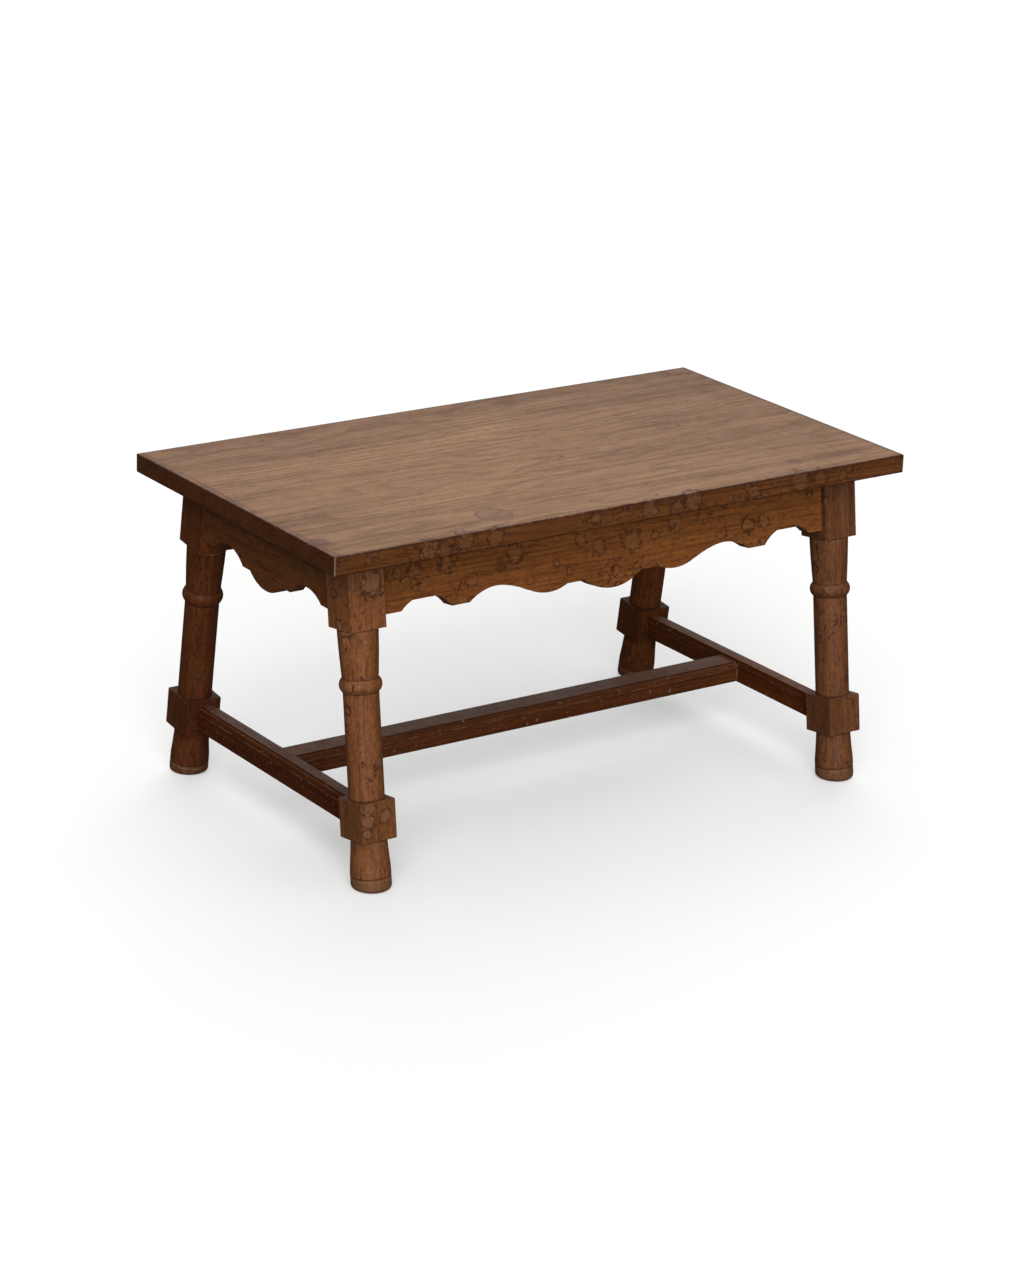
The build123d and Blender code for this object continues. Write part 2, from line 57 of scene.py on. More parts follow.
# A leg's axis stands at LEG_X and LEG_Y_FLOOR on the floor, and leans in by LEG_LEAN over LEG_RISE
LEG_X = 0.419
LEG_Y_FLOOR = 0.2565
LEG_RISE = TOP_UNDERSIDE
LEG_LEAN = 0.064

# A point of the front apron's outer face, low on the apron, and how much the face leans in as it rises
APRON_FACE_Y = -0.2245
APRON_FACE_Z = 0.39
APRON_LEAN = LEG_LEAN / LEG_RISE

# ---------------------------------------------------------------- the table's details, in millimetres
# Where a leg's axis meets the floor, measured up the axis from the point nearest the origin
LEG_FOOT_OFFSET = -LEG_Y_FLOOR * MILLIMETRES * LEG_LEAN / math.hypot(LEG_LEAN, LEG_RISE)
LEG_BLOCK_HALF = 29.0
FOOT_GROOVE = 17.5
LEG_STEP_HEIGHTS = (72.0, 131.0, 376.0)
# Heights of the leg's crevices, darkened with dirt and painted shade
LEG_CREVICES = (FOOT_GROOVE, 72.0, 131.5, 284.0, 304.5, 374.8)
# Heights of the leg's rubbed arrises, lightened with wear and a painted highlight
LEG_LIPS = (FOOT_GROOVE - 3.0, 371.8)

# The moulding's drop below a stretcher's top and its width, and the shoulders' distances from the middle
MOULD_DROP = 9.5
MOULD_WIDTH = 7.0
END_SHOULDER = 213.0
LONG_SHOULDER = 405.0

# The directions of a piece: along its grain, across it, and upwards
ALONG_X = (Vector((1, 0, 0)), Vector((0, 1, 0)), Vector((0, 0, 1)))
ALONG_Y = (Vector((0, 1, 0)), Vector((1, 0, 0)), Vector((0, 0, 1)))


def leg_axes(side_y):
    """Unit vectors of a leg: up its axis, along the table's length, and square to both towards the back."""
    up = Vector((0, -side_y * LEG_LEAN, LEG_RISE)).normalized()
    across = Vector((1, 0, 0))
    return up, across, up.cross(across)


# ---------------------------------------------------------------- material building
class Paint:
    """The node tree of one material, with short calls for the nodes it uses most."""

    def __init__(self, name):
        self.material = bpy.data.materials.new(name)
        self.material.use_nodes = True
        self.tree = self.material.node_tree
        self.tree.nodes.clear()

    def node(self, kind, inputs, **settings):
        made = self.tree.nodes.new("ShaderNode" + kind)
        for key, value in settings.items():
            setattr(made, key, value)
        for socket, value in inputs.items():
            if isinstance(value, bpy.types.NodeSocket):
                self.tree.links.new(value, made.inputs[socket])
            else:
                made.inputs[socket].default_value = value
        return made

    def math(self, operation, a, b=0.0, clamp=False):
        return self.node("Math", {0: a, 1: b}, operation=operation, use_clamp=clamp).outputs[0]

    def times(self, a, b):
        return self.math("MULTIPLY", a, b)

    def plus(self, a, b):
        return self.math("ADD", a, b)

    def ramp(self, value, start, end, low=0.0, high=1.0):
        """Turns value smoothly from low at start to high at end."""
        inputs = {"Value": value, "From Min": start, "From Max": end, "To Min": low, "To Max": high}
        return self.node("MapRange", inputs, interpolation_type="SMOOTHSTEP").outputs[0]

    def mix(self, factor, a, b):
        made = self.node("Mix", {0: factor}, data_type="RGBA")
        for index, value in ((6, a), (7, b)):
            if isinstance(value, bpy.types.NodeSocket):
                self.tree.links.new(value, made.inputs[index])
            else:
                made.inputs[index].default_value = (*value, 1.0)
        return made.outputs[2]

    def vector(self, operation, a, b):
        return self.node("VectorMath", {0: a, 1: b}, operation=operation).outputs[0]

    def scaled(self, a, factor):
        return self.node("VectorMath", {0: a, "Scale": factor}, operation="SCALE").outputs[0]

    def along(self, a, direction):
        return self.node("VectorMath", {0: a, 1: direction}, operation="DOT_PRODUCT").outputs["Value"]

    def noise(self, place, scales, detail=2.0, roughness=0.5, distortion=0.0):
        """A cloud pattern from 0 to 1 with so many waves to the millimetre along each of the three axes."""
        stretched = self.vector("MULTIPLY", place, scales)
        inputs = {"Vector": stretched, "Scale": 1.0, "Detail": detail, "Roughness": roughness}
        inputs["Distortion"] = distortion
        return self.node("TexNoise", inputs).outputs[0]


class Wood(Paint):
    """The material of one oak piece: where a point is along its grain, and the patterns its marks share."""

    def __init__(self, name, axes, seed, centre):
        super().__init__(name)
        chance = random.Random(seed)
        self.shift = tuple(chance.uniform(100.0, 900.0) for _ in range(3))
        raw = self.node("TexCoord", {}).outputs["Object"]
        self.place = self.scaled(raw, MILLIMETRES)
        self.centre = centre
        self.parts = [self.along(self.place, axis) for axis in axes]
        grain = self.node("CombineXYZ", {0: self.parts[0], 1: self.parts[1], 2: self.parts[2]}).outputs[0]
        self.grain = self.vector("ADD", grain, self.shift)
        self.moved = self.vector("ADD", self.place, self.shift)
        normal = self.node("NewGeometry", {}).outputs["Normal"]
        self.facing_up = self.node("SeparateXYZ", {0: normal}).outputs[2]
        self.end_face = self.ramp(self.math("ABSOLUTE", self.along(normal, axes[0])), 0.7, 0.95)
        self.wobble = self.plus(self.noise(self.moved, (0.13, 0.13, 0.13), 4.0, 0.65), -0.5)
        self.crackle = self.ramp(self.noise(self.moved, (0.3, 0.3, 0.3), 3.0, 0.7), 0.38, 0.5)

    def growth_rings(self, look):
        """The dark porous start of each year's growth: 1 where a ring begins, fading before the next."""
        sway = self.noise(self.grain, (0.003, 0.011, 0.011), 1.5, 0.45)
        sway = self.times(self.plus(sway, -0.5), look["wave"])
        across = self.plus(self.parts[1], -look["pith"][0])
        through = self.plus(self.parts[2], -look["pith"][1])
        through = self.plus(through, self.times(self.parts[0], look["slope"]))
        squares = self.plus(self.times(across, across), self.times(through, through))
        radius = self.plus(self.math("SQRT", squares), sway)
        turn = self.math("FRACT", self.times(radius, 1.0 / look["ring"]))
        return self.times(self.ramp(turn, 0.0, 0.1), self.ramp(turn, 0.6, 0.15))

    def tide_marks(self, size, share):
        """Dried splashes in clusters: the pale skin inside, and the dark crackled line round each drop."""
        inputs = {"Vector": self.moved, "Scale": 0.1, "Detail": 4.0, "Roughness": 0.65}
        cloud = self.node("TexNoise", inputs)
        bent = self.vector("ADD", self.moved, self.scaled(cloud.outputs["Color"], 16.0))
        cells = self.node("TexVoronoi", {"Vector": bent, "Scale": 1.0 / size})
        chance = self.node("SeparateColor", {0: cells.outputs["Color"]}).outputs[0]
        patches = self.noise(self.moved, (0.014, 0.014, 0.014), 2.0, 0.5)
        cluster = self.ramp(patches, 0.62 - 0.25 * share, 0.68 - 0.25 * share)
        chosen = self.times(self.ramp(chance, 0.8, 0.55), cluster)
        gap = self.plus(cells.outputs["Distance"], self.times(chance, 0.2))
        inside = self.times(self.ramp(gap, 0.5, 0.44), chosen)
        line = self.times(self.ramp(gap, 0.42, 0.48), self.ramp(gap, 0.64, 0.54))
        return inside, self.times(self.times(line, chosen), self.crackle)

    def away(self, centre, unevenness=0.0):
        """Millimetres from centre, which is in metres, made longer and shorter by unevenness."""
        target = tuple(centre * MILLIMETRES)
        straight = self.node("VectorMath", {0: self.place, 1: target}, operation="DISTANCE")
        return self.plus(straight.outputs["Value"], self.times(self.wobble, unevenness))

    def spot(self, centre, radius, softness, unevenness=0.0):
        """1 inside a spot about centre, which is in metres; radius and softness are in millimetres."""
        return self.ramp(self.away(centre, unevenness), radius + softness, radius - softness)

    def band(self, value, middle, half_width):
        """1 where value is at middle, falling to 0 half_width either side of it."""
        return self.ramp(self.math("ABSOLUTE", self.plus(value, -middle)), half_width, 0.0)


def shade(tone, factor):
    """A darker or lighter oak of the same kind: the darker it is, the redder."""
    red, green, blue = tone
    return red * factor ** 0.88, green * factor, blue * factor ** 1.12


def oak(name, axes, look, seed, marks=()):
    """Solid oak: growth rings, pores and streaks, then the piece's surface, its marks of use and its painted
    shade and highlights.
    """
    wood = Wood(name, axes, seed, look.get("centre"))
    grain = wood.grain
    rings = wood.growth_rings(look)
    fibres = wood.ramp(wood.noise(grain, (0.01, 0.42, 0.42), 4.0, 0.75), 0.4, 0.6)
    flecks = wood.ramp(wood.noise(grain, (0.07, 0.45, 0.45), 2.0, 0.5), 0.57, 0.63)
    lines = wood.ramp(wood.noise(grain, (0.0045, 0.3, 0.3), 2.0, 0.5), 0.6, 0.66)
    streaks = wood.ramp(wood.noise(grain, (0.0028, 0.17, 0.17), 3.0, 0.65), 0.38, 0.64)
    broad = wood.ramp(wood.noise(grain, (0.0018, 0.035, 0.035), 2.0, 0.5), 0.38, 0.64)
    patina = wood.noise(wood.moved, (0.16, 0.16, 0.16), 5.0, 0.7)
    clouds = wood.ramp(wood.noise(grain, (0.008, 0.014, 0.014), 4.0, 0.6), 0.36, 0.66)
    wear = wood.noise(wood.place, (0.03, 0.03, 0.03), 5.0, 0.65)

    dark = wood.times(streaks, look["streak"])
    shares = ((rings, "rings"), (fibres, "fibre"), (broad, "broad"), (clouds, "cloud"))
    for pattern, share in shares:
        dark = wood.plus(dark, wood.times(pattern, look[share]))
    dark = wood.math("MINIMUM", dark, 1.0)
    speck = wood.times(wood.times(flecks, wood.plus(wood.times(rings, 0.4), 0.6)), look["fleck"])
    speck = wood.math("MAXIMUM", speck, wood.times(lines, look["line"]))

    def figure(tone, spread=1.0):
        made = wood.mix(dark, shade(tone, 1.0 + 0.48 * spread), shade(tone, 1.0 - 0.62 * spread))
        return wood.mix(wood.times(speck, spread), made, shade(tone, 0.3))

    colour = figure(look["tone"])
    if "bloom" in look:
        up_face = wood.ramp(wood.facing_up, 0.75, 0.97)
        colour = wood.mix(up_face, colour, figure(look["bloom"], look["bloom_figure"]))
    under_face = wood.ramp(wood.facing_up, -0.75, -0.97)
    colour = wood.mix(under_face, colour, figure(look["under"], 0.8))
    colour = wood.mix(wood.times(wood.end_face, 0.9), colour, figure(look["end"]))

    depth = wood.plus(wood.times(rings, -0.3), wood.times(flecks, -0.7))
    depth = wood.plus(depth, wood.times(fibres, -0.3))
    gloss = wood.ramp(wear, 0.3, 0.75, look["rough"] - 0.08, look["rough"] + 0.1)
    if look.get("splashed"):
        inside, tide = wood.tide_marks(look["splash_size"], look["splashed"])
        side = wood.times(wood.ramp(wood.facing_up, 0.7, 0.4), wood.math("SUBTRACT", 1.0, wood.end_face))
        inside, tide = wood.times(inside, side), wood.times(tide, side)
        colour = wood.mix(wood.times(inside, 0.22), colour, look["splash_tone"])
        colour = wood.mix(wood.times(tide, 0.9), colour, TIDE_AND_SHADE_TONE)
        depth = wood.plus(depth, wood.times(tide, -0.5))
        gloss = wood.plus(gloss, wood.times(inside, 0.08))
    mottling = look["mottle"]
    colour = wood.scaled(colour, wood.ramp(patina, 0.3, 0.7, 1.0 - mottling, 1.0 + mottling))
    for mark in marks:
        colour, depth = mark(wood, colour, depth)

    bump = wood.node("Bump", {"Strength": 0.7, "Distance": 0.0005, "Height": depth})
    shader = wood.node("BsdfPrincipled", {
        "Base Color": colour, "Roughness": gloss, "Normal": bump.outputs[0],
        "Specular IOR Level": look["shine"],
    })
    wood.node("OutputMaterial", {"Surface": shader.outputs[0]})
    return wood.material


# ---------------------------------------------------------------- marks of use, painted shade and painted highlights
# The dark tones also serve as painted shade, and the dust and lip tones as painted highlights, in the marks
# that say so
TIDE_AND_SHADE_TONE = (0.035, 0.01, 0.004)
DARK_MARK = (0.03, 0.01, 0.005)
PALE_MARK = (0.22, 0.11, 0.055)
GREY_MARK = (0.1, 0.053, 0.036)
PURPLE_MARK = (0.1, 0.045, 0.036)
DUST_TONE = (0.24, 0.19, 0.14)
FOOT_TONE = (0.115, 0.06, 0.034)
LIP_TONE = (0.3, 0.14, 0.06)
HOLE_TONE = (0.008, 0.004, 0.003)


def worm_hole(centre, radius=1.0):
    def mark(wood, colour, depth):
        hole = wood.spot(centre, radius, 0.5)
        return wood.mix(hole, colour, HOLE_TONE), wood.plus(depth, wood.times(hole, -3.0))
    return mark


def knot(centre, radius):
    def mark(wood, colour, depth):
        core = wood.spot(centre, radius, radius * 0.6, radius * 1.6)
        return wood.mix(wood.times(core, 0.7), colour, DARK_MARK), depth
    return mark


def blotch(centre, radius, strength=0.5, tone=GREY_MARK):
    def mark(wood, colour, depth):
        patch = wood.spot(centre, radius, radius * 0.2, radius)
        return wood.mix(wood.times(patch, strength), colour, tone), depth
    return mark


def glass_ring(centre, radius):
    def mark(wood, colour, depth):
        outer = wood.spot(centre, radius, 1.5, 6.0)
        inner = wood.spot(centre, radius - 4.5, 2.5, 6.0)
        ring = wood.math("SUBTRACT", outer, wood.times(inner, 0.7), clamp=True)
        return wood.mix(wood.times(ring, 0.6), colour, GREY_MARK), depth
    return mark


def splash(centre, radius, reach=1.35, pale=0.14):
    """A dried splash: a pale middle inside a thin tide line, with dark runs beyond it."""
    def mark(wood, colour, depth):
        distance = wood.away(centre, radius * 2.8)
        core = wood.ramp(distance, radius + 1.0, radius - 1.0)
        broken = wood.ramp(wood.crackle, 0.0, 1.0, 0.35, 1.0)
        tide = wood.times(wood.band(distance, radius + 0.6, 1.5), broken)
        halo = wood.spot(centre, radius * reach, 1.5, radius * 4.0)
        runs = wood.times(wood.math("SUBTRACT", halo, core, clamp=True), wood.crackle)
        colour = wood.mix(wood.times(core, pale), colour, PALE_MARK)
        colour = wood.mix(wood.times(wood.math("MAXIMUM", tide, runs), 0.8), colour, DARK_MARK)
        return colour, wood.plus(depth, wood.times(core, -0.4))
    return mark


def crevice_dirt_and_shade_rings(heights, half_width):
    """Dirt and painted shade in the crevices round a leg, at these distances along its axis from the floor.
    """
    def mark(wood, colour, depth):
        for height in heights:
            line = wood.band(wood.parts[0], height + LEG_FOOT_OFFSET, half_width)
            # painted shade as well as dirt: each crevice line is darkened as if shade fell in it
            colour = wood.mix(wood.times(line, 0.7), colour, DARK_MARK)
        return colour, depth
    return mark


def rubbed_lips_and_highlights(heights, half_width):
    """Pale lines where a leg's turned arrises are rubbed, with a painted highlight on them, at these
    distances along its axis.
    """
    def mark(wood, colour, depth):
        for height in heights:
            line = wood.band(wood.parts[0], height + LEG_FOOT_OFFSET, half_width)
            line = wood.times(line, wood.ramp(wood.wobble, -0.12, 0.08, 0.2, 1.0))
            # the pale lines are painted highlights as well as wear
            colour = wood.mix(wood.times(line, 0.4), colour, LIP_TONE)
        return colour, depth
    return mark


def height_tones(steps):
    """Lighter and darker lengths of a leg: the tones from the floor up, which change at the step heights."""
    def mark(wood, colour, depth):
        factor = steps[0]
        for height, tone, following in zip(LEG_STEP_HEIGHTS, steps, steps[1:]):
            start = height + LEG_FOOT_OFFSET
            step = wood.ramp(wood.parts[0], start - 2.0, start + 2.0, 0.0, following - tone)
            factor = wood.plus(step, factor)
        return wood.scaled(colour, factor), depth
    return mark


def dirty_arrises(half, width):
    """Handled dirt along the arrises of a leg's square blocks, whose faces are half away from its axis."""
    def mark(wood, colour, depth):
        side = wood.math("ABSOLUTE", wood.plus(wood.parts[1], -wood.centre[0]))
        front = wood.math("ABSOLUTE", wood.plus(wood.parts[2], -wood.centre[1]))
        corner = wood.times(wood.ramp(side, half - width, half), wood.ramp(front, half - width, half))
        patchy = wood.ramp(wood.wobble, -0.08, 0.08)
        return wood.mix(wood.times(wood.times(corner, patchy), 0.6), colour, DARK_MARK), depth
    return mark


def putty_line(x, y, half_width):
    """Pale filler in the upright arris at a corner of the top."""
    def mark(wood, colour, depth):
        near = wood.times(wood.band(wood.parts[0], x, half_width), wood.band(wood.parts[1], y, half_width))
        return wood.mix(wood.times(near, 0.75), colour, DUST_TONE), depth
    return mark


def moulding_dust_highlight_and_shade(top, quirk, half_width):
    """A line of dust and painted highlight on a moulding's ledge, with dirt and painted shade in the scribed
    line under it and along its quirk.
    """
    def mark(wood, colour, depth):
        upper = wood.ramp(wood.parts[2], top - 2.5, top - 1.0)
        # painted shade and dirt along the quirk at the top of the moulding
        corner = wood.times(wood.band(wood.math("ABSOLUTE", wood.parts[1]), quirk, 1.3), upper)
        colour = wood.mix(wood.times(corner, 0.75), colour, DARK_MARK)
        patchy = wood.ramp(wood.noise(wood.place, (0.05, 0.05, 0.3), 4.0, 0.6), 0.4, 0.6)
        # painted shade and dirt darken the scribed line under the ledge; dust and a painted highlight
        # lighten the ledge
        scribed_dirt_and_shade = wood.band(wood.parts[2], top - MOULD_DROP - 1.9, half_width)
        ledge_dust_and_highlight = wood.times(wood.band(wood.parts[2], top - MOULD_DROP - 0.2, half_width), patchy)
        colour = wood.mix(wood.times(scribed_dirt_and_shade, 0.8), colour, DARK_MARK)
        return wood.mix(wood.times(ledge_dust_and_highlight, 0.3), colour, DUST_TONE), depth
    return mark


def worn_area(centre, radius, softness, gain):
    """A part of the surface rubbed lighter, or left darker, than the rest."""
    def mark(wood, colour, depth):
        area = wood.spot(centre, radius, softness, 160.0)
        return wood.scaled(colour, wood.plus(wood.times(area, gain), 1.0)), depth
    return mark


def end_stain(side_x, inset, half_width):
    """A broken dark line that wear has left just inside one end of the top."""
    def mark(wood, colour, depth):
        line = wood.band(wood.parts[0], side_x * (TOP_HALF_LENGTH * MILLIMETRES - inset), half_width)
        broken = wood.ramp(wood.noise(wood.place, (0.05, 0.012, 0.05), 4.0, 0.65), 0.36, 0.5)
        line = wood.times(wood.times(line, broken), wood.ramp(wood.facing_up, 0.8, 0.97))
        return wood.mix(wood.times(line, 0.75), colour, PURPLE_MARK), depth
    return mark


def rim_grime_and_shade(strength):
    """Dirt and worn finish along the upper arrises all round the top, and painted shade along the lower ones
    just above the underside.
    """
    def mark(wood, colour, depth):
        rims = []
        for value, half in ((wood.parts[0], TOP_HALF_LENGTH), (wood.parts[1], TOP_HALF_WIDTH)):
            edge = half * MILLIMETRES
            rims.append(wood.ramp(wood.math("ABSOLUTE", value), edge - 6.0, edge - 1.5))
        top, underside = TOP_HEIGHT * MILLIMETRES, TOP_UNDERSIDE * MILLIMETRES
        high = wood.ramp(wood.parts[2], top - 4.0, top - 1.0)
        # painted shade: a dark line along the lower arris, under the top's edge
        low = wood.ramp(wood.parts[2], underside + 3.5, underside + 1.0)
        rim = wood.times(wood.math("MAXIMUM", *rims), wood.math("MAXIMUM", high, low))
        rim = wood.times(rim, wood.ramp(wood.wobble, -0.14, 0.04, 0.35, 1.0))
        return wood.mix(wood.times(rim, strength), colour, TIDE_AND_SHADE_TONE), depth
    return mark


def joint_dust(shoulder, half_width):
    """Dust and old glue where a stretcher's shoulders meet the next piece."""
    def mark(wood, colour, depth):
        line = wood.band(wood.math("ABSOLUTE", wood.parts[0]), shoulder, half_width)
        line = wood.times(line, wood.ramp(wood.wobble, -0.06, 0.08))
        return wood.mix(wood.times(line, 0.35), colour, DUST_TONE), depth
    return mark


def nicks(amount):
    """Small pale chips in the finish."""
    def mark(wood, colour, depth):
        chip = wood.ramp(wood.noise(wood.moved, (0.16, 0.16, 0.16), 2.0, 0.6), 0.74 - amount, 0.78 - amount)
        return wood.mix(wood.times(chip, 0.5), colour, DUST_TONE), wood.plus(depth, wood.times(chip, -0.5))
    return mark


def worn_foot(height):
    """The greyer, rubbed end of a leg below its groove."""
    def mark(wood, colour, depth):
        low = wood.ramp(wood.parts[0], height + LEG_FOOT_OFFSET + 1.0, height + LEG_FOOT_OFFSET - 1.0)
        patchy = wood.ramp(wood.wobble, -0.12, 0.12, 0.2, 0.75)
        return wood.mix(wood.times(low, patchy), colour, FOOT_TONE), depth
    return mark


# ---------------------------------------------------------------- the looks of each kind of piece
TOP_LOOK = {
    "tone": (0.096, 0.031, 0.008), "bloom": (0.214, 0.109, 0.053), "bloom_figure": 0.95,
    "under": (0.14, 0.075, 0.038), "end": (0.058, 0.017, 0.004),
    "slope": 0.012, "ring": 8.0, "wave": 60.0, "streak": 0.24, "rings": 0.2, "fibre": 0.18,
    "broad": 0.18, "fleck": 0.45, "line": 0.5, "cloud": 0.14, "mottle": 0.07, "rough": 0.5, "shine": 0.11,
    "splashed": 0.95, "splash_size": 16.0, "splash_tone": (0.14, 0.064, 0.03),
}
APRON_LOOK = {
    "tone": (0.163, 0.0535, 0.0125), "under": (0.09, 0.03, 0.01), "end": (0.06, 0.02, 0.007),
    "slope": 0.02, "ring": 5.0, "wave": 30.0, "streak": 0.24, "rings": 0.14, "fibre": 0.22,
    "broad": 0.12, "fleck": 0.6, "line": 0.4, "cloud": 0.16, "mottle": 0.16, "rough": 0.5, "shine": 0.1,
    "splashed": 0.48, "splash_size": 17.0, "splash_tone": (0.19, 0.085, 0.036),
}
LEG_LOOK = {
    "under": (0.09, 0.033, 0.012), "end": (0.1, 0.035, 0.013),
    "slope": 0.01, "ring": 4.0, "wave": 18.0, "streak": 0.24, "rings": 0.12, "fibre": 0.2,
    "broad": 0.12, "fleck": 0.7, "line": 0.4, "cloud": 0.16, "mottle": 0.2, "rough": 0.55,
    "splashed": 0.3, "splash_size": 18.0, "splash_tone": (0.21, 0.1, 0.048),
}
STRETCHER_LOOK = {
    "bloom": (0.089, 0.034, 0.0155), "bloom_figure": 0.8,
    "under": (0.06, 0.02, 0.008), "end": (0.05, 0.017, 0.007),
    "slope": 0.01, "ring": 4.0, "wave": 16.0, "streak": 0.28, "rings": 0.14, "fibre": 0.22,
    "broad": 0.14, "fleck": 0.5, "line": 0.4, "cloud": 0.16, "mottle": 0.14, "rough": 0.42, "shine": 0.06,
}
TONES = ("tone", "bloom", "under", "end", "splash_tone")


def tinted(look, factor, **changes):
    """The same look made lighter or darker by factor, with any other changes."""
    made = {k: tuple(c * factor for c in v) if k in TONES else v for k, v in look.items()}
    made.update(changes)
    return made


def on_top(x, y):
    return Vector((x, y, TOP_HEIGHT))


def on_front_edge(x, z):
    return Vector((x, -TOP_HALF_WIDTH, z))


def on_front_apron(x, height):
    """A point of the front apron's outer face, height in metres above APRON_FACE_Z."""
    return Vector((x, APRON_FACE_Y + APRON_LEAN * height, APRON_FACE_Z + height))


# Wear and stains over all the boards, with painted shade along the lower arris under the top's edge
BOARD_WEAR_AND_SHADE = (
    worn_area(on_top(-0.06, 0.02), 240.0, 220.0, 0.08),
    worn_area(on_top(0.52, 0.25), 260.0, 240.0, -0.2),
    end_stain(-1, 9.0, 5.5), end_stain(1, 3.0, 6.0), rim_grime_and_shade(0.9),
)
FRONT_EDGE_MARKS = (
    putty_line(-TOP_HALF_LENGTH * MILLIMETRES, -TOP_HALF_WIDTH * MILLIMETRES, 2.6),
    splash(on_front_edge(-0.346, 0.492), 12.0), splash(on_front_edge(-0.322, 0.489), 9.0),
    splash(on_front_edge(-0.286, 0.495), 13.0), splash(on_front_edge(-0.238, 0.493), 11.0),
    splash(on_front_edge(-0.066, 0.493), 8.0), splash(on_front_edge(0.028, 0.492), 12.0),
    splash(on_front_edge(0.078, 0.487), 10.0), splash(on_front_edge(0.107, 0.494), 13.0, 1.5),
    splash(on_front_edge(0.216, 0.491), 9.0), splash(on_front_edge(0.303, 0.492), 14.0),
    splash(on_front_edge(0.339, 0.493), 10.0), worm_hole(on_front_edge(0.247, 0.484)),
)
BOARDS = {
    "top_board_1": (1.04, (-226.0, 395.0), FRONT_EDGE_MARKS + (
        glass_ring(on_top(-0.204, -0.219), 28.0), blotch(on_top(0.333, -0.221), 12.0),
        knot(on_top(0.053, -0.255), 3.0), blotch(on_top(-0.484, -0.205), 16.0, 0.7, PURPLE_MARK))),
    "top_board_2": (1.0, (-112.0, 380.0), ()),
    "top_board_3": (1.02, (-30.0, 330.0), (
        glass_ring(on_top(0.278, 0.022), 21.0), knot(on_top(0.040, -0.038), 3.5))),
    "top_board_4": (1.04, (150.0, 400.0), (
        knot(on_top(-0.282, 0.138), 3.0), knot(on_top(0.384, 0.110), 2.6))),
    "top_board_5": (0.92, (260.0, 350.0), (knot(on_top(-0.304, 0.243), 3.2),)),
}
APRON_MARKS = (
    splash(on_front_apron(-0.24, 0.024), 8.0), splash(on_front_apron(-0.165, 0.052), 11.0),
    splash(on_front_apron(-0.02, 0.038), 9.0), splash(on_front_apron(-0.052, 0.053), 8.0),
    splash(on_front_apron(-0.073, 0.012), 4.5), splash(on_front_apron(-0.094, 0.026), 4.0, 1.8),
    splash(on_front_apron(-0.282, 0.055), 10.0, 1.5), splash(on_front_apron(-0.335, 0.054), 9.0),
    splash(on_front_apron(0.039, 0.039), 13.0, 1.35), splash(on_front_apron(0.117, 0.053), 11.0, 1.1),
    splash(on_front_apron(0.168, 0.055), 9.0, 1.1), splash(on_front_apron(0.201, 0.024), 7.0, 1.4),
    splash(on_front_apron(0.25, 0.029), 8.0, 1.6), splash(on_front_apron(0.28, 0.03), 8.0, 1.4),
    blotch(on_front_apron(-0.19, 0.037), 10.0, 0.45, DARK_MARK),
)
LEGS = {
    "leg_front_left": {"factor": 1.06, "tone": (0.155, 0.053, 0.0158), "shine": 0.2,
                       "steps": (0.97, 0.79, 0.98, 1.12)},
    "leg_front_right": {"factor": 0.82, "tone": (0.146, 0.05, 0.0165), "shine": 0.18,
                        "steps": (0.96, 0.9, 0.98, 0.95)},
    "leg_back_left": {"factor": 0.5, "tone": (0.15, 0.039, 0.009), "shine": 0.12,
                      "steps": (0.94, 0.82, 0.95, 1.25)},
    "leg_back_right": {"factor": 0.6, "tone": (0.15, 0.042, 0.01), "shine": 0.08,
                       "steps": (0.94, 0.82, 0.98, 1.12)},
}


def leg_point(side_x, side_y, across, inward, along):
    """A point of a leg, in metres, from millimetres across, inwards from and up along its axis."""
    up, _, backward = leg_axes(side_y)
    foot = Vector((side_x * LEG_X, side_y * LEG_Y_FLOOR, 0.0))
    move = Vector((across, 0, 0)) + backward * (inward * -side_y) + up * along
    return foot + move / MILLIMETRES


def front_left(across, inward, along):
    return leg_point(-1, -1, across, inward, along)


LEG_MARKS = {
    "leg_front_left": (
        splash(front_left(7.0, -29.5, 441.0), 14.0, 1.5, 0.42),
        splash(front_left(25.0, -29.5, 430.0), 4.0, 1.5),
        splash(front_left(11.0, -29.0, 108.0), 8.0, 1.35, 0.25),
        splash(front_left(-16.0, -29.0, 122.0), 8.0, 1.3, 0.35),
        splash(front_left(-17.0, -29.0, 104.0), 9.0, 1.3, 0.35),
        splash(front_left(-20.0, -29.0, 87.0), 6.0, 1.4, 0.3),
        splash(front_left(9.0, -24.0, 184.0), 7.0, 1.3, 0.3),
        worm_hole(front_left(-29.0, 4.0, 112.0)), worm_hole(front_left(-29.0, 12.0, 104.0)),
        worm_hole(front_left(-29.0, 6.0, 98.0)), worm_hole(front_left(-29.0, -6.0, 92.0)),
        worm_hole(front_left(-8.0, -29.5, 402.0)), worm_hole(front_left(24.0, -29.5, 420.0)),
    ),
    "leg_front_right": (
        worm_hole(leg_point(1, -1, 12.0, -29.5, 440.0)), worm_hole(leg_point(1, -1, 8.0, -29.5, 408.0)),
    ),
}


def dress(name, material):
    """Gives a CAD node this material."""
    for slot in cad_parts[name].material_slots:
        slot.material = material


def dress_boards():
    for seed, (name, (tone, pith, marks)) in enumerate(BOARDS.items()):
        look = tinted(TOP_LOOK, tone, pith=pith)
        dress(name, oak(name + "_oak", ALONG_X, look, 10 + seed, BOARD_WEAR_AND_SHADE + marks))


def dress_aprons():
    long_look = dict(APRON_LOOK, pith=(-300.0, 520.0))
    for seed, (name, marks) in enumerate((("apron_front", APRON_MARKS), ("apron_back", ()))):
        dress(name, oak(name + "_oak", ALONG_X, long_look, 30 + seed, marks))
    end_look = tinted(APRON_LOOK, 0.68, pith=(-500.0, 520.0), splashed=0.1)
    for seed, name in enumerate(("apron_left", "apron_right")):
        dress(name, oak(name + "_oak", ALONG_Y, end_look, 40 + seed))


